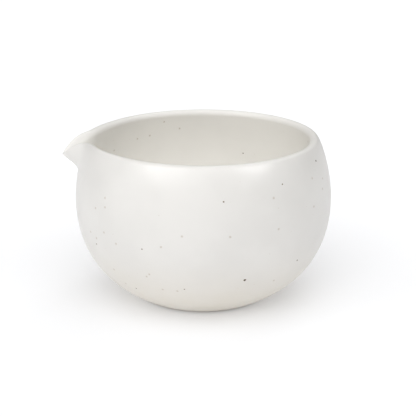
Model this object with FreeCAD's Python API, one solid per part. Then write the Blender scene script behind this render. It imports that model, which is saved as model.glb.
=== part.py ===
"""Hand-thrown stoneware mortar bowl with a pulled pouring spout.

Frame: millimetres, +Z up, the table at Z = 0, the bowl's own axis along Z through the
origin. The spout points along -X, and the plane Y = 0 is the bowl's plane of symmetry.

Two solids share one face exactly:
  stoneware_body  the thrown and turned clay: wall, floor, pulled spout and bare foot ring
  glaze_coat      the glass skin over all of the clay but the foot
and a third node holds the iron that has boiled out of the clay and through the glaze:
  iron_specks     one thin separate solid on the glaze for each large spot
"""
import FreeCAD, Part
import os
from math import cos, pi, radians, sin, sqrt

# ---- driving dimensions -------------------------------------------------------------
HEIGHT = 80.0             # table to the top of the rim
RIM_RADIUS = 54.0         # axis to the centre of the rounded rim
RIM_LEAN = 31.0           # degrees that the wall's outer face leans inward at the rim
INNER_LEAN = 14.0         # and its inner face
LIP_RADIUS = 2.3          # half the glazed thickness of the rounded rim
GLAZE = 0.4               # thickness of the glaze

BELLY_LOW = (57.0, 15.7)  # the two poles that set how full the belly is: radius, height
BELLY_HIGH = (73.4, 33.9)
UNDER_RISE = (42.1, 5.7)  # pole that sets how flat the underside leaves the foot
GLAZE_EDGE = (30.0, 0.4)  # where the glaze stops above the foot
RIM_RUN = 7.4             # length over which the wall keeps the lean of the rim

INNER_BELLY_HIGH = (66.5, 34.0)   # poles of the inner wall
INNER_BELLY_LOW = (50.0, 13.0)
INNER_FLOOR_POLE = 34.0
FLOOR_RADIUS = 12.0       # flat middle of the inner floor
FLOOR_HEIGHT = 6.4        # height of the glazed inner floor

FOOT_OUTER = 28.6         # contact ring of the foot
FOOT_INNER = 24.2
FOOT_EDGE = 0.5           # how far the two edges of the foot are rounded off
RECESS_RADIUS = 22.6      # turned recess inside the foot ring
RECESS_DEPTH = 2.0

BEAK_HALF_ANGLE = 21.6    # the narrow beak of the spout, as angles about the bowl's axis
BEAK_POWER = 2.7
BEAK_ROOT = 65.2          # height at which the beak leaves the wall
BEAK_BEND = 2.0           # half the height over which it bends out of the wall
BEAK_REACH = 11.0         # how far it is pulled outward at the rim
DIP_HALF_ANGLE = 18.0     # how the rim dips at the spout
DIP_POWER = 3.8
DIP_DEPTH = 8.1
FLARE_HALF_ANGLE = 46.0   # the wall's own wide, low swell towards the spout
FLARE_ROOT = 62.5
FLARE_REACH = 2.4

# The large iron spots are scattered by rule, clear of the spout: each one is a fixed share
# of the way round, up and in size from the one before, and the shares never fall into step.
OUTER_SPOTS = 20          # spots on the outer wall
INNER_SPOTS = 6           # and on the inner wall
OUTER_SPOT_HEIGHTS = (12.0, 76.0)
INNER_SPOT_HEIGHTS = (40.0, 75.0)
SPOT_RADII = (0.45, 0.9)  # most are near the smaller radius
SPOT_RISE = 0.08          # how far a spot stands out of the glaze
TURN_SHARE = 0.618
HEIGHT_SHARE = 0.414
SIZE_SHARE = 0.732

# ---- how finely the surfaces are sampled ---------------------------------------------
SPOUT_SECTOR = 48.0       # degrees each side of the spout that hold all of its shape
SECTOR_STEP = 1.5         # degrees between two profiles in that sector
WALL_STEPS = 22           # stretches along each wall
LIP_STEPS = 14            # stretches round the rim
SLOPE_STEP = 1e-4         # small step used to find the surface normal
SEW_GAP = 0.001
HALVINGS = 40             # steps of the search for a height along the section

CENTRE = FreeCAD.Vector(0, 0, 0)
UP = FreeCAD.Vector(0, 0, 1)


def bezier(poles, t):
    """Point at t on the Bezier curve of any degree with these (radius, height) poles."""
    points = [tuple(p) for p in poles]
    while len(points) > 1:
        points = [
            ((1 - t) * a[0] + t * b[0], (1 - t) * a[1] + t * b[1])
            for a, b in zip(points, points[1:])
        ]
    return points[0]


def glazed_profile(s):
    """Plain bowl section: s in 0..1 outer wall, 1..2 round the rim, 2..3 inner wall."""
    outer, inner = radians(RIM_LEAN), radians(INNER_LEAN)
    middle = (RIM_RADIUS, HEIGHT - LIP_RADIUS)

    def rim_point(side, lean, back):
        """Where the rim's round meets its outer (1) or inner (-1) wall, moved back down it."""
        return (
            middle[0] + side * LIP_RADIUS * cos(lean) + back * sin(lean),
            middle[1] + side * LIP_RADIUS * sin(lean) - back * cos(lean),
        )

    if s <= 1:
        upper = [rim_point(1, outer, RIM_RUN), rim_point(1, outer, 0)]
        return bezier([GLAZE_EDGE, UNDER_RISE, BELLY_LOW, BELLY_HIGH] + upper, s)
    if s < 2:
        angle = outer + (pi + inner - outer) * (s - 1)
        return (middle[0] + LIP_RADIUS * cos(angle), middle[1] + LIP_RADIUS * sin(angle))
    poles = [
        rim_point(-1, inner, 0),
        rim_point(-1, inner, RIM_RUN),
        INNER_BELLY_HIGH,
        INNER_BELLY_LOW,
        (INNER_FLOOR_POLE, FLOOR_HEIGHT),
        (FLOOR_RADIUS, FLOOR_HEIGHT),
    ]
    return bezier(poles, s - 2)


def window(angle, half_angle, power):
    """Smooth bump: 1 on the spout's axis, 0 from half_angle degrees outward."""
    share = abs(angle) / radians(half_angle)
    return (0.5 * (1 + cos(pi * share))) ** power if share < 1 else 0.0


def beak_rise(height):
    """0 below the root of the beak, 1 at the rim, with a short parabolic bend between."""
    above = height - BEAK_ROOT
    if above <= -BEAK_BEND:
        return 0.0
    if above < BEAK_BEND:
        above = (above + BEAK_BEND) ** 2 / (4 * BEAK_BEND)
    return above / (HEIGHT - BEAK_ROOT)


def glazed_point(s, angle):
    """Point of the glazed surface; angle is measured from the spout, in radians."""
    radius, height = glazed_profile(s)
    rise = beak_rise(height)
    swell = max(0.0, (height - FLARE_ROOT) / (HEIGHT - FLARE_ROOT)) ** 2
    radius += BEAK_REACH * window(angle, BEAK_HALF_ANGLE, BEAK_POWER) * rise
    radius += FLARE_REACH * window(angle, FLARE_HALF_ANGLE, 1) * swell
    height -= DIP_DEPTH * window(angle, DIP_HALF_ANGLE, DIP_POWER) * rise
    return FreeCAD.Vector(-radius * cos(angle), -radius * sin(angle), height)


def normal_at(s, angle):
    """Unit normal of the glazed surface, pointing out of the bowl's wall."""
    low, high = max(0.0, s - SLOPE_STEP), min(3.0, s + SLOPE_STEP)
    along = glazed_point(high, angle) - glazed_point(low, angle)
    around = glazed_point(s, angle + SLOPE_STEP) - glazed_point(s, angle - SLOPE_STEP)
    return around.cross(along).normalize()


def skin_point(s, angle, depth):
    """Point that lies depth below the glazed surface."""
    return glazed_point(s, angle) - normal_at(s, angle) * depth


def stations():
    """Section parameters from the foot, over the rim, to the flat inner floor."""
    steps = [i / WALL_STEPS for i in range(WALL_STEPS)]
    steps += [1 + i / LIP_STEPS for i in range(LIP_STEPS)]
    steps += [2 + i / WALL_STEPS for i in range(WALL_STEPS + 1)]
    return steps


def skin(depth):
    """The whole skin at one depth, as a freeform spout sector and a plain turned rest."""
    count = round(2 * SPOUT_SECTOR / SECTOR_STEP)
    angles = [radians(-SPOUT_SECTOR + i * SECTOR_STEP) for i in range(count + 1)]
    surface = Part.BSplineSurface()
    surface.interpolate([[skin_point(s, a, depth) for a in angles] for s in stations()])
    first_s, last_s, first_a, last_a = surface.bounds()
    section = surface.vIso(last_a).toShape()
    return {
        "spout": surface.toShape(),
        "plain": section.revolve(CENTRE, UP, 360 - 2 * SPOUT_SECTOR),
        "foot_edges": [surface.uIso(first_s).toShape(), turned_edge(section.Vertexes[0].Point)],
        "floor_edges": [surface.uIso(last_s).toShape(), turned_edge(section.Vertexes[-1].Point)],
    }


def turned_edge(point):
    """The arc that a point of the section draws as the plain rest is turned."""
    return Part.Vertex(point).revolve(CENTRE, UP, 360 - 2 * SPOUT_SECTOR)


def floor_face(edges):
    """Flat face closed by the two edges of the inner floor."""
    return Part.Face(Part.Wire(Part.__sortEdges__(edges)))


def foot_faces(skin_edges):
    """Bare turned foot: its side, contact ring and recess, from the skin's lower edges in."""
    angle = radians(SPOUT_SECTOR)

    def at(radius, height):
        return FreeCAD.Vector(-radius * cos(angle), -radius * sin(angle), height)

    round_mid = FOOT_EDGE * (1 - sqrt(0.5))
    outer_arc = Part.Arc(
        at(FOOT_OUTER + FOOT_EDGE, FOOT_EDGE),
        at(FOOT_OUTER + FOOT_EDGE - round_mid, round_mid),
        at(FOOT_OUTER, 0),
    ).toShape()
    inner_arc = Part.Arc(
        at(FOOT_INNER, 0),
        at(FOOT_INNER - FOOT_EDGE + round_mid, round_mid),
        at(FOOT_INNER - FOOT_EDGE, FOOT_EDGE),
    ).toShape()
    outline = [
        outer_arc,
        Part.makeLine(at(FOOT_OUTER, 0), at(FOOT_INNER, 0)),
        inner_arc,
        Part.makeLine(at(FOOT_INNER - FOOT_EDGE, FOOT_EDGE), at(RECESS_RADIUS, RECESS_DEPTH)),
        Part.makeLine(at(RECESS_RADIUS, RECESS_DEPTH), at(0, RECESS_DEPTH)),
    ]
    faces = []
    for skin_edge, turn in zip(skin_edges, (-2 * SPOUT_SECTOR, 360 - 2 * SPOUT_SECTOR)):
        side_edge = Part.Vertex(at(FOOT_OUTER + FOOT_EDGE, FOOT_EDGE)).revolve(CENTRE, UP, turn)
        faces.append(Part.makeRuledSurface(skin_edge, side_edge))
        faces += Part.Wire(outline).revolve(CENTRE, UP, turn).Faces
    return faces


def closed_solid(faces):
    """Sew faces that meet edge to edge into one solid with its volume positive."""
    compound = Part.makeCompound(faces)
    compound.sewShape(SEW_GAP)
    solid = Part.Solid(Part.Shell(compound.Faces))
    if solid.Volume < 0:
        solid.reverse()
    return solid


def stoneware_body():
    """Clay wall and floor with the pulled spout, closed below by the bare foot."""
    clay = skin(GLAZE)
    faces = [clay["spout"], clay["plain"], floor_face(clay["floor_edges"])]
    return closed_solid(faces + foot_faces(clay["foot_edges"]))


def glaze_coat():
    """Glass skin between the clay and the glazed surface, inside and outside."""
    glazed, clay = skin(0), skin(GLAZE)
    faces = [glazed["spout"], glazed["plain"], clay["spout"], clay["plain"]]
    faces += [floor_face(glazed["floor_edges"]), floor_face(clay["floor_edges"])]
    faces += [
        Part.makeRuledSurface(upper, lower)
        for upper, lower in zip(glazed["foot_edges"], clay["foot_edges"])
    ]
    return closed_solid(faces)


def section_at(height, first, last):
    """Section parameter in first..last, a rising or falling stretch, at this height."""
    rising = glazed_profile(last)[1] > glazed_profile(first)[1]
    for _ in range(HALVINGS):
        middle = (first + last) / 2
        if (glazed_profile(middle)[1] < height) == rising:
            first = middle
        else:
            last = middle
    return middle


def iron_speck(coat, angle, height, radius, inside):
    """Thin scab of melted iron, with its underside on the glaze and a flat top."""
    s = section_at(height, *((2.0, 2.9) if inside else (0.0, 1.0)))
    normal = normal_at(s, radians(angle))
    start = glazed_point(s, radians(angle)) - normal * GLAZE / 2
    return Part.makeCylinder(radius, GLAZE / 2 + SPOT_RISE, start, normal).cut(coat)


def scattered(count, heights):
    """Angle from the spout in degrees, height and radius of each spot on one wall."""
    spots = []
    for i in range(1, count + 1):
        angle = BEAK_HALF_ANGLE + (360 - 2 * BEAK_HALF_ANGLE) * (i * TURN_SHARE % 1)
        height = heights[0] + (heights[1] - heights[0]) * (i * HEIGHT_SHARE % 1)
        radius = SPOT_RADII[0] + (SPOT_RADII[1] - SPOT_RADII[0]) * (i * SIZE_SHARE % 1) ** 3
        spots.append((angle if angle <= 180 else angle - 360, height, radius))
    return spots


def iron_specks(coat):
    """The large spots of both walls."""
    specks = [iron_speck(coat, *spot, False) for spot in scattered(OUTER_SPOTS, OUTER_SPOT_HEIGHTS)]
    specks += [iron_speck(coat, *spot, True) for spot in scattered(INNER_SPOTS, INNER_SPOT_HEIGHTS)]
    return Part.makeCompound([solid for speck in specks for solid in speck.Solids])


def main():
    os.makedirs("parts", exist_ok=True)
    coat = glaze_coat()
    nodes = {
        "stoneware_body": stoneware_body(),
        "glaze_coat": coat,
        "iron_specks": iron_specks(coat),
    }
    for name, shape in nodes.items():
        shape.exportStep("parts/" + name + ".step")
        print(name, shape.ShapeType, shape.isValid(), shape.isClosed(), round(shape.Volume), shape.BoundBox)


main()
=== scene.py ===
"""Looks of the spouted stoneware mortar bowl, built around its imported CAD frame.

The bowl is one thrown pot: a bare clay body, a satin off-white glaze over all of it but
the foot, and iron specks that boiled out of the clay through the glaze.
The shape is worked out in millimetres and turned into scene metres as meshes are made.
"""
import random
from math import cos, degrees, hypot, pi, radians, remainder, sin

import bpy
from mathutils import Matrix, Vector, noise


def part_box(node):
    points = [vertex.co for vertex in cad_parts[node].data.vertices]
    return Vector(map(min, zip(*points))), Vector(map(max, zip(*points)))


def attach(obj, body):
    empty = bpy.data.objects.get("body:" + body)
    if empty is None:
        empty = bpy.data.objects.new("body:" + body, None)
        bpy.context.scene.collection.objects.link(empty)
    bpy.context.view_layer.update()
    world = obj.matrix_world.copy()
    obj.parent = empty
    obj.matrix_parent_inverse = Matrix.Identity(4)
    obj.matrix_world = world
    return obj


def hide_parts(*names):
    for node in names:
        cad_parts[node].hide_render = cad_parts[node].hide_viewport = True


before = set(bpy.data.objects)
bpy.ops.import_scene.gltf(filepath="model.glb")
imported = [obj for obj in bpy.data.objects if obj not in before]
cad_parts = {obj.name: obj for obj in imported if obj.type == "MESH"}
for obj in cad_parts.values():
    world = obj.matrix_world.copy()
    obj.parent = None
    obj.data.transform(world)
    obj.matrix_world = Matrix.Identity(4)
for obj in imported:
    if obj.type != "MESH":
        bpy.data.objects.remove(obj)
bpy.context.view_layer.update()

MM = 0.001

# ---- the bowl's shape, in millimetres ------------------------------------------------
GLAZE_BOX = [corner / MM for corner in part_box("glaze_coat")]
HEIGHT = GLAZE_BOX[1].z           # top of the rim
RIM_RADIUS = 54.0                 # axis to the centre of the rounded rim
RIM_LEAN = radians(31.0)          # how far the outer face leans inward at the rim
INNER_LEAN = radians(14.0)        # and the inner face
LIP_RADIUS = 2.3                  # half the thickness of the rim
GLAZE = 0.4                       # thickness of the glaze
RIM_RUN = 7.4                     # length over which the wall keeps the lean of the rim

GLAZE_EDGE = (30.0, 0.4)          # poles of the outer wall: radius, height
UNDER_RISE = (42.1, 5.7)
BELLY_LOW = (57.0, 15.7)
BELLY_HIGH = (73.4, 33.9)
INNER_BELLY_HIGH = (66.5, 34.0)   # poles of the inner wall
INNER_BELLY_LOW = (50.0, 13.0)
INNER_FLOOR_POLE = (34.0, 6.4)
FLOOR_EDGE = (12.0, 6.4)

FOOT_OUTER = 28.6                 # contact ring of the foot
FOOT_INNER = 24.2
FOOT_EDGE = 0.5
RECESS_RADIUS = 22.6
RECESS_DEPTH = 2.0

BEAK_HALF_ANGLE = radians(21.6)   # the narrow beak of the spout
BEAK_POWER = 2.7
BEAK_ROOT = 65.2
BEAK_BEND = 2.0
BEAK_REACH = 11.0
DIP_HALF_ANGLE = radians(18.0)    # how the rim dips at the spout
DIP_POWER = 3.8
DIP_DEPTH = 8.1
FLARE_HALF_ANGLE = radians(46.0)  # the wall's own low swell towards the spout
FLARE_ROOT = 62.5
FLARE_REACH = 2.4

# ---- what hands, wheel and kiln leave on it --------------------------------------------
UNEVEN = 0.09                     # slow unevenness of the wall
UNEVEN_SPACING = 38.0
THROWING_RIDGE = 0.018            # faint rings left by the fingers
THROWING_PITCH = 5.5
FLOOR_SWIRL = 0.10                # swirl on the middle of the inner floor
GLAZE_ROLL = 1.3                  # length over which the glaze rounds off above the foot
TURNING_GROOVE = 0.05             # spiral left by the turning tool under the foot
TURNING_PITCH = 1.3
RIM_CALM = 12.0                   # the throwing ridges fade out over this much below the rim

# ---- how finely the meshes are sampled ---------------------------------------------------
FINE_SECTOR = 24.0                # degrees each side of the spout that need fine steps
SLOPE_STEP = 1e-3                 # small step used to find the surface's tangents
HALVINGS = 30                     # steps of the search for a height along the section
SPECK_SIDES = 20


def bezier(poles, t):
    """Point at t on the Bezier curve of any degree with these (radius, height) poles."""
    points = list(poles)
    while len(points) > 1:
        pairs = zip(points, points[1:])
        points = [((1 - t) * a[0] + t * b[0], (1 - t) * a[1] + t * b[1]) for a, b in pairs]
    return points[0]


def rim_point(side, lean, back):
    """Where the rim's round meets a wall face with this lean, moved back down that face."""
    return (
        RIM_RADIUS + side * LIP_RADIUS * cos(lean) + back * sin(lean),
        HEIGHT - LIP_RADIUS + side * LIP_RADIUS * sin(lean) - back * cos(lean),
    )


OUTER_POLES = [
    GLAZE_EDGE,
    UNDER_RISE,
    BELLY_LOW,
    BELLY_HIGH,
    rim_point(1, RIM_LEAN, RIM_RUN),
    rim_point(1, RIM_LEAN, 0),
]
INNER_POLES = [
    rim_point(-1, INNER_LEAN, 0),
    rim_point(-1, INNER_LEAN, RIM_RUN),
    INNER_BELLY_HIGH,
    INNER_BELLY_LOW,
    INNER_FLOOR_POLE,
    FLOOR_EDGE,
]


def glazed_profile(s):
    """Plain bowl section: s in 0..1 outer wall, 1..2 round the rim, 2..3 inner wall."""
    if s <= 1:
        return bezier(OUTER_POLES, s)
    if s < 2:
        turn = RIM_LEAN + (pi + INNER_LEAN - RIM_LEAN) * (s - 1)
        return (RIM_RADIUS + LIP_RADIUS * cos(turn), HEIGHT - LIP_RADIUS + LIP_RADIUS * sin(turn))
    return bezier(INNER_POLES, s - 2)


def window(angle, half_angle, power):
    """Smooth bump: 1 on the spout's axis, 0 from half_angle outward, on both sides of it."""
    share = abs(remainder(angle, 2 * pi)) / half_angle
    return (0.5 * (1 + cos(pi * share))) ** power if share < 1 else 0.0


def beak_rise(height):
    """0 below the root of the beak, 1 at the rim, with a short parabolic bend between."""
    above = height - BEAK_ROOT
    if above <= -BEAK_BEND:
        return 0.0
    if above < BEAK_BEND:
        above = (above + BEAK_BEND) ** 2 / (4 * BEAK_BEND)
    return above / (HEIGHT - BEAK_ROOT)


def wander(radius, height, angle):
    """How far the hand-made wall stands off its drawn line, in millimetres."""
    place = Vector((radius * cos(angle), radius * sin(angle), height))
    slow = noise.noise(place / UNEVEN_SPACING)
    ridges = sin(2 * pi * (height / THROWING_PITCH + angle / (2 * pi)))
    calm = min(1.0, max(0.0, (HEIGHT - height) / RIM_CALM))
    return UNEVEN * slow + THROWING_RIDGE * ridges * calm


def on_ring(radius, height, angle):
    """Point at an angle measured from the spout, which lies along -X, towards -Y."""
    return Vector((-radius * cos(angle), -radius * sin(angle), height))


def glazed_point(s, angle):
    """Point of the glazed surface."""
    radius, height = glazed_profile(s)
    rise = beak_rise(height)
    swell = max(0.0, (height - FLARE_ROOT) / (HEIGHT - FLARE_ROOT)) ** 2
    off = wander(radius, height, angle)
    radius += BEAK_REACH * window(angle, BEAK_HALF_ANGLE, BEAK_POWER) * rise
    radius += FLARE_REACH * window(angle, FLARE_HALF_ANGLE, 1) * swell
    height -= DIP_DEPTH * window(angle, DIP_HALF_ANGLE, DIP_POWER) * rise
    return on_ring(radius + off, height, angle)


def slopes(s, angle):
    """The two tangents of the glazed surface, along the section and round the bowl."""
    low, high = max(0.0, s - SLOPE_STEP), min(3.0, s + SLOPE_STEP)
    along = (glazed_point(high, angle) - glazed_point(low, angle)) / (high - low)
    around = glazed_point(s, angle + SLOPE_STEP) - glazed_point(s, angle - SLOPE_STEP)
    return along, around / (2 * SLOPE_STEP)


def normal_at(s, angle):
    """Unit normal of the glazed surface, pointing away from the clay."""
    along, around = slopes(s, angle)
    return around.cross(along).normalized()


def skin_point(s, angle, depth):
    """Point that lies depth below the glazed surface."""
    return glazed_point(s, angle) - normal_at(s, angle) * depth


def floor_ring(share, angle, depth):
    """Point of the flat inner floor at a share of its radius, with the throwing swirl."""
    radius = FLOOR_EDGE[0] * share
    swirl = FLOOR_SWIRL * sin(2 * pi * share * 2 - angle) * 4 * share * (1 - share)
    return on_ring(radius, FLOOR_EDGE[1] - depth + swirl * share, angle)


# ---- meshes ---------------------------------------------------------------------------
def azimuths(fine, plain):
    """Angles round the bowl, in fine steps over the spout and plain ones elsewhere."""
    count = round(2 * FINE_SECTOR / fine)
    angles = [-FINE_SECTOR + i * fine for i in range(count)]
    rest = 360 - 2 * FINE_SECTOR
    count = round(rest / plain)
    angles += [FINE_SECTOR + i * rest / count for i in range(count)]
    return [radians(a) for a in angles]


def section_steps(wall, lip):
    """Section parameters from the foot, over the rim, to the inner floor."""
    steps = [i / wall for i in range(wall)]
    steps += [1 + i / lip for i in range(lip)]
    return steps + [2 + i / wall for i in range(wall + 1)]


def closed_mesh(name, rings, first_pole, last_pole):
    """Object from rings of points, closed by a fan at each end; smooth shaded."""
    count = len(rings[0])
    points = [point * MM for ring in rings for point in ring]
    first, last = len(points), len(points) + 1
    points += [first_pole * MM, last_pole * MM]
    faces = []
    for row in range(len(rings) - 1):
        for i in range(count):
            j = (i + 1) % count
            faces.append((row * count + i, row * count + j, (row + 1) * count + j, (row + 1) * count + i))
    top = (len(rings) - 1) * count
    for i in range(count):
        j = (i + 1) % count
        faces.append((first, j, i))
        faces.append((last, top + i, top + j))
    mesh = bpy.data.meshes.new(name)
    mesh.from_pydata(points, [], faces)
    mesh.validate()
    mesh.polygons.foreach_set("use_smooth", [True] * len(mesh.polygons))
    piece = bpy.data.objects.new(name, mesh)
    bpy.context.scene.collection.objects.link(piece)
    return piece


def point_values(piece, name, values):
    """Store one number per point on a piece, for its material to read."""
    layer = piece.data.attributes.new(name, "FLOAT", "POINT")
    layer.data.foreach_set("value", values)


def build_glaze():
    """The glass skin: clay side from the floor down to the foot, then the glazed side back."""
    around = azimuths(fine=0.5, plain=1.0)
    rings = [[skin_point(s, a, GLAZE) for a in around] for s in reversed(section_steps(36, 12))]
    run = hypot(UNDER_RISE[0] - GLAZE_EDGE[0], UNDER_RISE[1] - GLAZE_EDGE[1]) * (len(OUTER_POLES) - 1)
    for share in (0.02, 0.08, 0.2, 0.4, 0.65):
        sunk = 0.96 * GLAZE * (1 - share) ** 2.5
        rings.append([skin_point(share * GLAZE_ROLL / run, a, sunk) for a in around])
    inside = [0.0] * len(rings)
    steps = [s for s in section_steps(96, 26) if s > GLAZE_ROLL / run]
    rings += [[glazed_point(s, a) for a in around] for s in steps]
    inside += [min(1.0, max(0.0, s - 1)) for s in steps]
    shares = [1 - i / 16 for i in range(1, 16)]
    rings += [[floor_ring(share, a, 0) for a in around] for share in shares]
    inside += [1.0] * len(shares)
    clay_side = Vector((0, 0, FLOOR_EDGE[1] - GLAZE))
    piece = closed_mesh("glaze", rings, clay_side, Vector((0, 0, FLOOR_EDGE[1])))
    point_values(piece, "inside", [value for value in inside for _ in around] + [0.0, 1.0])
    return piece


def foot_outline():
    """Radius and height from the middle of the recess, over the foot ring, to its side."""
    outline = [(radius / 4, RECESS_DEPTH) for radius in range(2, int(4 * RECESS_RADIUS) - 3)]
    outline.append((RECESS_RADIUS, RECESS_DEPTH - 0.15))
    turns = [i * pi / 16 for i in range(9)]
    inner = [(FOOT_INNER - FOOT_EDGE * cos(t), FOOT_EDGE * (1 - sin(t))) for t in turns]
    outer = [(FOOT_OUTER + FOOT_EDGE * sin(t), FOOT_EDGE * (1 - cos(t))) for t in turns]
    return outline + inner + outer


def build_clay():
    """The fired clay: turned recess and foot ring outside the glaze, hidden skin under it."""
    around = azimuths(fine=1.0, plain=2.0)
    rings = []
    for radius, height in foot_outline():
        ring = []
        for a in around:
            spiral = 0.5 - 0.5 * cos(2 * pi * radius / TURNING_PITCH + a)
            cut = TURNING_GROOVE * spiral if height == RECESS_DEPTH else 0.0
            ring.append(on_ring(radius, height + cut, a))
        rings.append(ring)
    rings += [[skin_point(s, a, GLAZE) for a in around] for s in section_steps(36, 12)]
    floor_centre = Vector((0, 0, FLOOR_EDGE[1] - GLAZE))
    return closed_mesh("clay", rings, Vector((0, 0, RECESS_DEPTH)), floor_centre)


# ---- iron specks ------------------------------------------------------------------------
# The large spots follow the CAD's scatter rule; the faint ones are seeded at random.
OUTER_SPOTS = 20
INNER_SPOTS = 6
OUTER_SPOT_HEIGHTS = (12.0, 76.0)
INNER_SPOT_HEIGHTS = (40.0, 75.0)
SPOT_RADII = (0.45, 0.9)          # with the soft brown edge
TURN_SHARE = 0.618
HEIGHT_SHARE = 0.414
SIZE_SHARE = 0.732
SPOT_CORE = 0.68                  # radius of the dark middle, of the whole spot
SPOT_STRENGTHS = (0.75, 1.0)      # of the brown, from the smallest spot to the largest
FAINT_OUTSIDE = 46                # faint specks on the outer wall
FAINT_INSIDE = 34                 # and on the inner wall
FAINT = 0.22                      # strength of their brown
FAINT_RADIUS = 0.6
SPECK_SEED = 7
HALO = 1.7                        # how far a speck's brown bleeds, in its own radii
SPECK_RISE = 0.035                # its middle stands out of the glaze
SPECK_SINK = 0.03                 # its edge lies under the glaze's surface
SPECK_BED = 0.15                  # how deep it reaches into the glaze


def section_at(height, first, last):
    """Section parameter in first..last, a rising or falling stretch, at this height."""
    rising = glazed_profile(last)[1] > glazed_profile(first)[1]
    for _ in range(HALVINGS):
        middle = (first + last) / 2
        if (glazed_profile(middle)[1] < height) == rising:
            first = middle
        else:
            last = middle
    return middle


def around_the_bowl(share):
    """Angle from the spout in degrees, share 0..1 of the way round from beak to beak."""
    beak = degrees(BEAK_HALF_ANGLE)
    angle = beak + (360 - 2 * beak) * share
    return angle if angle <= 180 else angle - 360


def wall_specks(draw, spot_count, faint_count, heights):
    """Angle, height, radius and strength of the large spots and the faint specks of one wall."""
    specks = []
    for i in range(1, spot_count + 1):
        height = heights[0] + (heights[1] - heights[0]) * (i * HEIGHT_SHARE % 1)
        size = (i * SIZE_SHARE % 1) ** 3
        radius = SPOT_CORE * (SPOT_RADII[0] + (SPOT_RADII[1] - SPOT_RADII[0]) * size)
        strength = SPOT_STRENGTHS[0] + (SPOT_STRENGTHS[1] - SPOT_STRENGTHS[0]) * size
        specks.append((around_the_bowl(i * TURN_SHARE % 1), height, radius, strength))
    for _ in range(faint_count):
        specks.append((around_the_bowl(draw.random()), draw.uniform(*heights), FAINT_RADIUS, FAINT))
    return specks


def speck_rings(angle, height, radius, inside):
    """Rings of a thin lens that follows the glaze, from its bed out to its edge and back in."""
    s = section_at(height, *((2.0, 2.95) if inside else (0.0, 1.0)))
    angle = radians(angle)
    along, around = slopes(s, angle)

    def at(share, turn, lift):
        ragged = 1 + 0.28 * noise.noise(Vector((cos(turn), sin(turn), height)) * 1.3)
        reach = radius * HALO * share * ragged
        here_s = s + reach * sin(turn) / along.length
        here_angle = angle + reach * cos(turn) / around.length
        return skin_point(here_s, here_angle, -lift)

    turns = [2 * pi * i / SPECK_SIDES for i in range(SPECK_SIDES)]
    bed = [(share, -SPECK_BED) for share in (0.5, 0.9)]
    inward = [i / 6 for i in range(6)]
    top = [(1 - i, SPECK_RISE * i ** 1.5 - SPECK_SINK * (1 - i) ** 3) for i in inward]
    rings = [[at(share, turn, lift) for turn in turns] for share, lift in bed + top]
    return rings, at(0, 0, -SPECK_BED), at(0, 0, SPECK_RISE), [share for share, _ in bed + top]


def build_specks():
    """All specks in one piece; the iron attribute fades from a speck's middle to its edge."""
    draw = random.Random(SPECK_SEED)
    outside = wall_specks(draw, OUTER_SPOTS, FAINT_OUTSIDE, OUTER_SPOT_HEIGHTS)
    inside = wall_specks(draw, INNER_SPOTS, FAINT_INSIDE, INNER_SPOT_HEIGHTS)
    parts = []
    for specks, is_inside in ((outside, False), (inside, True)):
        for angle, height, radius, strength in specks:
            rings, bed, top, shares = speck_rings(angle, height, radius, is_inside)
            part = closed_mesh("speck", rings, bed, top)
            count = len(rings[0])
            iron = [strength * (1 - share) for share in shares for _ in range(count)]
            iron += [strength, strength]
            point_values(part, "iron", iron)
            point_values(part, "inside", [float(is_inside)] * len(iron))
            parts.append(part)
    with bpy.context.temp_override(active_object=parts[0], selected_editable_objects=parts):
        bpy.ops.object.join()
    parts[0].name = "iron"
    return parts[0]


# ---- materials ----------------------------------------------------------------------------
def srgb(red, green, blue):
    """Linear colour with alpha from 0..255 display values."""
    def linear(value):
        value /= 255
        return value / 12.92 if value <= 0.04045 else ((value + 0.055) / 1.055) ** 2.4

    return (linear(red), linear(green), linear(blue), 1.0)


GLAZE_WHITE = srgb(232, 230, 226)
GLAZE_POOLED_AND_LIT = srgb(242, 240, 235)  # thicker and whiter inside, and lighter there as painted light on the shaded hollow
GLAZE_CREAM_AND_SHADE = srgb(226, 220, 208)   # where the glaze runs thin, low on the wall; also darker there as painted shade
GLAZE_SHADE = srgb(228, 226, 222)   # slow clouding of the glaze
IRON_HALO = srgb(176, 160, 138)
IRON_BROWN = srgb(92, 70, 48)
IRON_BLACK = srgb(38, 30, 24)
CLAY_BUFF = srgb(190, 172, 146)
CLAY_TOAST = srgb(150, 118, 86)
CLAY_GROG = srgb(96, 78, 62)
GLASS_IOR = 1.5
COAT_WEIGHT = 0.25                  # sheen over the outside of the glaze
COAT_ROUGHNESS = 0.36
FLOOR_WHITE = srgb(226, 226, 227)
FLOOR_SHADE = srgb(225, 225, 226)


def add(tree, kind, settings=None, **inputs):
    """New node; settings are its own fields, inputs are values or sockets to link."""
    node = tree.nodes.new(kind)
    for key, value in (settings or {}).items():
        setattr(node, key, value)
    for key, value in inputs.items():
        socket = node.inputs[int(key[1:])] if key[0] == "n" and key[1:].isdigit() else node.inputs[key]
        if isinstance(value, bpy.types.NodeSocket):
            tree.links.new(value, socket)
        else:
            socket.default_value = value
    return node


def new_material(name):
    """Empty material with an output node; returns it and its node tree."""
    material = bpy.data.materials.new(name)
    material.use_nodes = True
    material.node_tree.nodes.clear()
    return material, material.node_tree


def noise_value(tree, place, spacing_mm, detail=2.0, roughness=0.5):
    """Noise in 0..1 whose features are about spacing_mm apart."""
    node = add(tree, "ShaderNodeTexNoise", Vector=place, Scale=1 / (spacing_mm * MM), Detail=detail)
    node.inputs["Roughness"].default_value = roughness
    return node.outputs["Fac"]


def ramp(tree, value, low, high, start=0.0, end=1.0):
    """Smooth step of value from low..high to start..end."""
    settings = {"interpolation_type": "SMOOTHSTEP"}
    node = add(tree, "ShaderNodeMapRange", settings, Value=value)
    node.inputs["From Min"].default_value = low
    node.inputs["From Max"].default_value = high
    node.inputs["To Min"].default_value = start
    node.inputs["To Max"].default_value = end
    return node.outputs["Result"]


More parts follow.
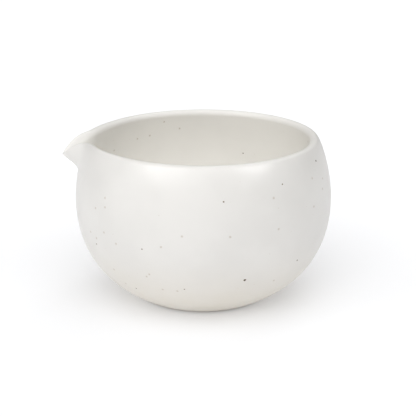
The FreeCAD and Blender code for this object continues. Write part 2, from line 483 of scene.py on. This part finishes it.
def mix(tree, share, first, second):
    """Colour between first and second."""
    node = add(tree, "ShaderNodeMix", {"data_type": "RGBA"}, n0=share, n6=first, n7=second)
    return node.outputs[2]


def product(tree, first, second):
    """Two values multiplied."""
    return add(tree, "ShaderNodeMath", {"operation": "MULTIPLY"}, n0=first, n1=second).outputs[0]


def glaze_nodes(tree):
    """Colour, roughness and bump of the glaze, shared by the glaze and the specks in it."""
    place = add(tree, "ShaderNodeTexCoord").outputs["Object"]
    height = add(tree, "ShaderNodeSeparateXYZ", Vector=place).outputs["Z"]
    clouds = ramp(tree, noise_value(tree, place, 26, detail=3), 0.35, 0.7)
    inside = add(tree, "ShaderNodeAttribute", {"attribute_name": "inside"}).outputs["Fac"]
    # the inside is lighter: partly pooled glaze, partly painted light on the shaded hollow
    colour = mix(tree, inside, GLAZE_WHITE, GLAZE_POOLED_AND_LIT)
    clouds = product(tree, clouds, ramp(tree, inside, 0, 1, 1, 0.2))
    colour = mix(tree, clouds, colour, GLAZE_SHADE)
    wobble = noise_value(tree, place, 18)
    # warm thin glaze low on the outer wall, also darker towards the bottom as painted shade
    lowness = ramp(tree, height, 0.0, 42 * MM, 1.0, 0.0)
    outer = ramp(tree, inside, 0, 1, 1, 0)
    thin_and_shaded = product(tree, product(tree, lowness, outer), ramp(tree, wobble, 0.2, 0.8, 0.7, 1.0))
    colour = mix(tree, thin_and_shaded, colour, GLAZE_CREAM_AND_SHADE)
    pepper = add(tree, "ShaderNodeTexVoronoi", Vector=place, Scale=1 / (3.6 * MM))
    chosen = add(tree, "ShaderNodeSeparateColor", Color=pepper.outputs["Color"])
    grain = ramp(tree, pepper.outputs["Distance"], 0.03, 0.085, 1.0, 0.0)
    rare = ramp(tree, chosen.outputs["Red"], 0.62, 0.72, 0.0, 0.30)
    colour = mix(tree, product(tree, grain, rare), colour, IRON_HALO)
    roughness = ramp(tree, noise_value(tree, place, 9, detail=4), 0.3, 0.7, 0.36, 0.48)
    matt = {"operation": "MULTIPLY_ADD"}
    roughness = add(tree, "ShaderNodeMath", matt, n0=inside, n1=0.2, n2=roughness).outputs[0]
    skin = noise_value(tree, place, 2.2, detail=2)
    fine = noise_value(tree, place, 0.5, detail=1)
    relief = add(tree, "ShaderNodeMath", {"operation": "MULTIPLY_ADD"}, n0=fine, n1=0.12, n2=skin)
    bump = add(tree, "ShaderNodeBump", Strength=0.25, Distance=0.06 * MM, Height=relief.outputs[0])
    return colour, roughness, bump.outputs["Normal"], outer


def finish_surface(tree, colour, roughness, normal, **inputs):
    """Principled surface on the material's output."""
    surface = add(tree, "ShaderNodeBsdfPrincipled", Roughness=roughness, Normal=normal)
    surface.inputs["Base Color"].default_value = (1, 1, 1, 1)
    tree.links.new(colour, surface.inputs["Base Color"])
    for key, value in inputs.items():
        surface.inputs[key.replace("_", " ")].default_value = value
    add(tree, "ShaderNodeOutputMaterial", Surface=surface.outputs[0])
    return surface


def glaze_material():
    material, tree = new_material("satin_white_glaze")
    colour, roughness, normal, outer = glaze_nodes(tree)
    sheen = product(tree, outer, COAT_WEIGHT)
    coat = {"IOR": GLASS_IOR, "Coat_Roughness": COAT_ROUGHNESS}
    surface = finish_surface(tree, colour, roughness, normal, **coat)
    tree.links.new(sheen, surface.inputs["Coat Weight"])
    return material


def iron_material():
    """Brown that bleeds into the glaze's own colour towards the edge of a speck."""
    material, tree = new_material("iron_in_glaze")
    colour, roughness, normal, _ = glaze_nodes(tree)
    iron = add(tree, "ShaderNodeAttribute", {"attribute_name": "iron"}).outputs["Fac"]
    place = add(tree, "ShaderNodeTexCoord").outputs["Object"]
    ragged = ramp(tree, noise_value(tree, place, 0.35, detail=2), 0.2, 0.8, 0.75, 1.25)
    depth = product(tree, iron, ragged)
    colour = mix(tree, ramp(tree, depth, 0.0, 0.34, 0.0, 0.85), colour, IRON_HALO)
    colour = mix(tree, ramp(tree, depth, 0.22, 0.55), colour, IRON_BROWN)
    colour = mix(tree, ramp(tree, depth, 0.5, 0.85), colour, IRON_BLACK)
    finish_surface(tree, colour, roughness, normal, IOR=GLASS_IOR)
    return material


def clay_material():
    """Bare fired stoneware: buff, toasted beside the glaze, with dark grog and turning lines."""
    material, tree = new_material("bare_stoneware")
    place = add(tree, "ShaderNodeTexCoord").outputs["Object"]
    height = add(tree, "ShaderNodeSeparateXYZ", Vector=place).outputs["Z"]
    clouds = ramp(tree, noise_value(tree, place, 7, detail=4), 0.3, 0.7)
    toast = ramp(tree, height, 1.4 * MM, 2.6 * MM, 0.15, 0.85)
    colour = mix(tree, product(tree, clouds, toast), CLAY_BUFF, CLAY_TOAST)
    grog = add(tree, "ShaderNodeTexVoronoi", Vector=place, Scale=1 / (1.7 * MM))
    colour = mix(tree, ramp(tree, grog.outputs["Distance"], 0.08, 0.2, 0.7, 0.0), colour, CLAY_GROG)
    grit = noise_value(tree, place, 0.4, detail=3)
    bump = add(tree, "ShaderNodeBump", Strength=0.6, Distance=0.12 * MM, Height=grit)
    roughness = ramp(tree, clouds, 0, 1, 0.8, 0.92)
    finish_surface(tree, colour, roughness, bump.outputs["Normal"])
    return material


# ---- studio ---------------------------------------------------------------------------------
FLOOR_SIZE = 12.0
FLOOR_CLOUDS = 300                  # spacing of its faint clouding, in millimetres
GLOW_NEAR, GLOW_FAR = 0.266, 0.33   # the sweep glows as if lit from below, dimmer near the bowl as a painted shadow round it
GLOW_START, GLOW_END = 0.06, 0.24   # distances from the bowl's axis
GLOW_COLOUR = (0.98, 0.99, 1.01, 1)
PAINTED_CONTACT_REACH = (0.028, 0.034)      # distances over which the glow weakens under the belly, as a painted contact shadow
PAINTED_CONTACT_SHADOW = 0.55                # and the share of it that is left there
SKY_FRONT = 4.74                    # strength of the ceiling towards the front
SKY_LEFT = 0.45                     # and towards the left
SOFTBOX_AIM = Vector((0, 0, 0.04))


def floor_material():
    material, tree = new_material("white_sweep")
    place = add(tree, "ShaderNodeTexCoord").outputs["Object"]
    clouds = noise_value(tree, place, FLOOR_CLOUDS)
    colour = mix(tree, clouds, FLOOR_WHITE, FLOOR_SHADE)
    surface = add(tree, "ShaderNodeBsdfDiffuse", Color=colour)
    distance = add(tree, "ShaderNodeVectorMath", {"operation": "LENGTH"}, n0=place).outputs["Value"]
    # painted shadow: the floor's glow is dimmer near the bowl than far from it
    strength = ramp(tree, distance, GLOW_START, GLOW_END, GLOW_NEAR, GLOW_FAR)
    # painted contact shadow: the glow weakens further right under the belly
    strength = product(tree, strength, ramp(tree, distance, *PAINTED_CONTACT_REACH, PAINTED_CONTACT_SHADOW, 1.0))
    glow = add(tree, "ShaderNodeEmission", Color=GLOW_COLOUR, Strength=strength)
    both = add(tree, "ShaderNodeAddShader", n0=surface.outputs[0], n1=glow.outputs[0])
    add(tree, "ShaderNodeOutputMaterial", Surface=both.outputs[0])
    return material


def build_floor():
    mesh = bpy.data.meshes.new("floor")
    half = FLOOR_SIZE / 2
    corners = [(-half, -half, 0), (half, -half, 0), (half, half, 0), (-half, half, 0)]
    mesh.from_pydata(corners, [], [(0, 1, 2, 3)])
    floor = bpy.data.objects.new("floor", mesh)
    bpy.context.scene.collection.objects.link(floor)
    mesh.materials.append(floor_material())


def ceiling_patch(tree, height, across, strength):
    """Light that grows upward and towards the side where across is low, as squares of both."""
    share = add(tree, "ShaderNodeMath", {"operation": "MULTIPLY_ADD"}, n0=across, n1=-0.5, n2=0.5).outputs[0]
    glow = product(tree, height, share)
    return product(tree, product(tree, glow, glow), strength)


def build_sky():
    """A soft ceiling over a dark horizon, brightest up and to the front; white to the camera."""
    world = bpy.data.worlds.new("studio")
    bpy.context.scene.world = world
    world.use_nodes = True
    tree = world.node_tree
    tree.nodes.clear()
    direction = add(tree, "ShaderNodeTexCoord").outputs["Generated"]
    parts = add(tree, "ShaderNodeSeparateXYZ", Vector=direction)
    height = add(tree, "ShaderNodeMath", {"operation": "MAXIMUM"}, n0=parts.outputs["Z"], n1=0.0)
    front = ceiling_patch(tree, height.outputs[0], parts.outputs["Y"], SKY_FRONT)
    left = ceiling_patch(tree, height.outputs[0], parts.outputs["X"], SKY_LEFT)
    strength = add(tree, "ShaderNodeMath", {"operation": "ADD"}, n0=front, n1=left).outputs[0]
    seen = add(tree, "ShaderNodeLightPath").outputs["Is Camera Ray"]
    shown = add(tree, "ShaderNodeMix", {"data_type": "FLOAT"}, n0=seen, n2=strength, n3=1.0).outputs[0]
    light = add(tree, "ShaderNodeBackground", Color=(1, 1, 1, 1), Strength=shown)
    add(tree, "ShaderNodeOutputWorld", Surface=light.outputs[0])


def softbox(name, place, size, watts, only_gloss=False):
    """Square soft light at place, facing the middle of the bowl, in metres."""
    lamp = bpy.data.lights.new(name, "AREA")
    lamp.shape = "SQUARE"
    lamp.size = size
    lamp.energy = watts
    holder = bpy.data.objects.new(name, lamp)
    holder.location = place
    holder.visible_diffuse = not only_gloss
    holder.rotation_euler = (SOFTBOX_AIM - Vector(place)).to_track_quat("-Z", "Y").to_euler()
    bpy.context.scene.collection.objects.link(holder)


CAMERA_TURN = radians(2.4)          # the camera stands a little to the left of the bowl's front
CAMERA_PITCH = radians(17.5)
CAMERA_DISTANCE = 0.70
CAMERA_SIDE, CAMERA_HEIGHT = 0.00227, 0.04317   # the point that it looks at
CAMERA_LENS = 122.97                # focal length on the sensor's width, in millimetres
SENSOR_WIDTH = 36


def build_camera():
    right = Vector((cos(CAMERA_TURN), -sin(CAMERA_TURN), 0))
    back = Vector((-sin(CAMERA_TURN), -cos(CAMERA_TURN), 0))
    target = right * CAMERA_SIDE + Vector((0, 0, CAMERA_HEIGHT))
    away = back * cos(CAMERA_PITCH) + Vector((0, 0, sin(CAMERA_PITCH)))
    lens = bpy.data.cameras.new("camera")
    lens.sensor_width = SENSOR_WIDTH
    lens.lens = CAMERA_LENS
    camera = bpy.data.objects.new("camera", lens)
    camera.location = target + away * CAMERA_DISTANCE
    camera.rotation_euler = (-away).to_track_quat("-Z", "Y").to_euler()
    bpy.context.scene.collection.objects.link(camera)
    bpy.context.scene.camera = camera


def place_piece(piece, node, material):
    """Give a piece its material and let it stand for its CAD node."""
    piece.data.materials.clear()
    piece.data.materials.append(material)
    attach(piece, "root")
    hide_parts(node)


def main():
    build_camera()
    build_floor()
    build_sky()
    softbox("key", (-0.35, -1.4, 0.9), 0.9, 3.5)
    softbox("low_left", (-1.3, -0.45, 0.22), 0.4, 2.15)
    softbox("high_back", (0.2, 0.8, 1.35), 0.9, 2.5)
    softbox("back_right", (0.6, 0.8, 1.0), 0.6, 1.6)
    softbox("gloss_left", (-1.02, -0.83, 1.06), 0.9, 13.5, only_gloss=True)
    softbox("gloss_right", (0.98, -0.76, 0.94), 0.5, 11, only_gloss=True)
    place_piece(build_clay(), "stoneware_body", clay_material())
    place_piece(build_glaze(), "glaze_coat", glaze_material())
    place_piece(build_specks(), "iron_specks", iron_material())
    bpy.context.scene.view_settings.view_transform = "Standard"
    bpy.context.scene.view_settings.look = "None"


main()
